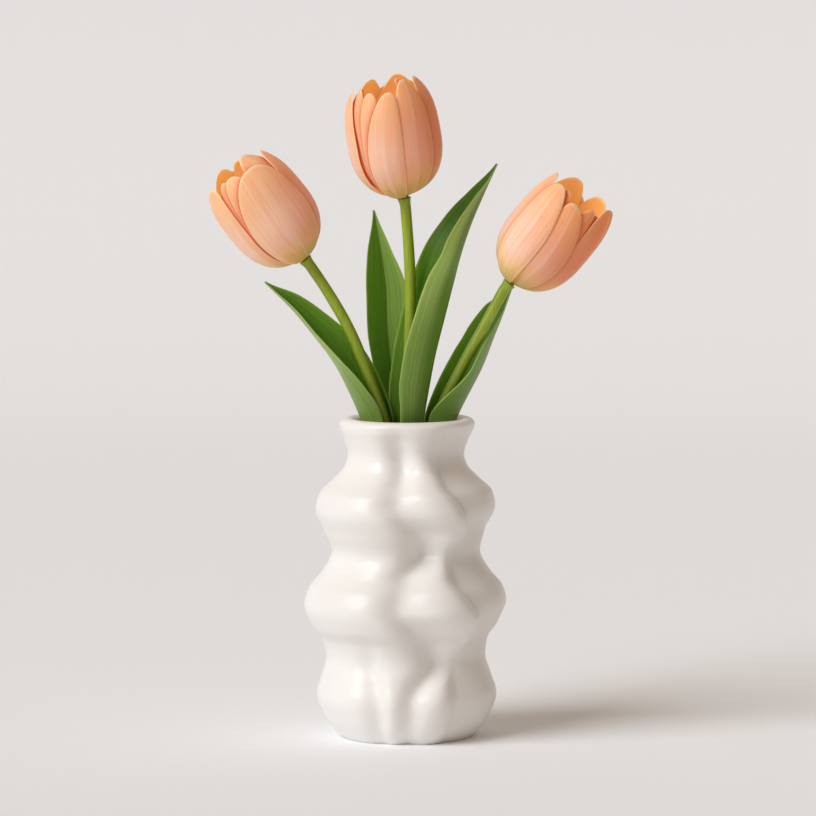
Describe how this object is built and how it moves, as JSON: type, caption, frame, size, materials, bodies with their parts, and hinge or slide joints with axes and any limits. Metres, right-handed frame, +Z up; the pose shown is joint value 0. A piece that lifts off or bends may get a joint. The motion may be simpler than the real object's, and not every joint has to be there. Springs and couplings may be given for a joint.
{
  "type": "tulips in a vase",
  "caption": "Cut tulips with cupped peach blooms and folded leaves, standing in water in a wavy, lobed white vase.",
  "frame": {"origin": "middle of the vase's flat foot, on the surface that it stands on", "axes": "+Z up along the vase, -Y towards the viewer who sees the front, +X to that viewer's right"},
  "size_m": [0.2212, 0.1072, 0.3672],
  "materials": {
    "vase": "satin",
    "water": "gloss",
    "leaf": "satin",
    "stem": "satin",
    "petal": "matte",
    "pistil": "satin",
    "stamen": "matte"
  },
  "bodies": {
    "root": {"back_leaf": "leaf", "front_leaf": "leaf", "left_inner_petal_1": "petal", "left_inner_petal_2": "petal", "left_inner_petal_3": "petal", "left_inner_petal_4": "petal", "left_innermost_petal_1": "petal", "left_leaf": "leaf", "left_outer_petal_1": "petal", "left_outer_petal_2": "petal", "left_outer_petal_3": "petal", "left_outer_petal_4": "petal", "left_outer_petal_5": "petal", "left_outer_petal_6": "petal", "left_pistil": "pistil", "left_stamens": "stamen", "left_stem": "stem", "middle_inner_petal_1": "petal", "middle_inner_petal_2": "petal", "middle_inner_petal_3": "petal", "middle_innermost_petal_1": "petal", "middle_innermost_petal_2": "petal", "middle_outer_petal_1": "petal", "middle_outer_petal_2": "petal", "middle_outer_petal_3": "petal", "middle_outer_petal_4": "petal", "middle_outer_petal_5": "petal", "middle_outer_petal_6": "petal", "middle_outer_petal_7": "petal", "middle_pistil": "pistil", "middle_stamens": "stamen", "middle_stem": "stem", "right_inner_petal_1": "petal", "right_inner_petal_2": "petal", "right_inner_petal_3": "petal", "right_inner_petal_4": "petal", "right_leaf": "leaf", "right_outer_petal_1": "petal", "right_outer_petal_2": "petal", "right_outer_petal_3": "petal", "right_outer_petal_4": "petal", "right_outer_petal_5": "petal", "right_outer_petal_6": "petal", "right_outer_petal_7": "petal", "right_pistil": "pistil", "right_stamens": "stamen", "right_stem": "stem", "vase": "vase", "water": "water"}
  },
  "joints": []
}
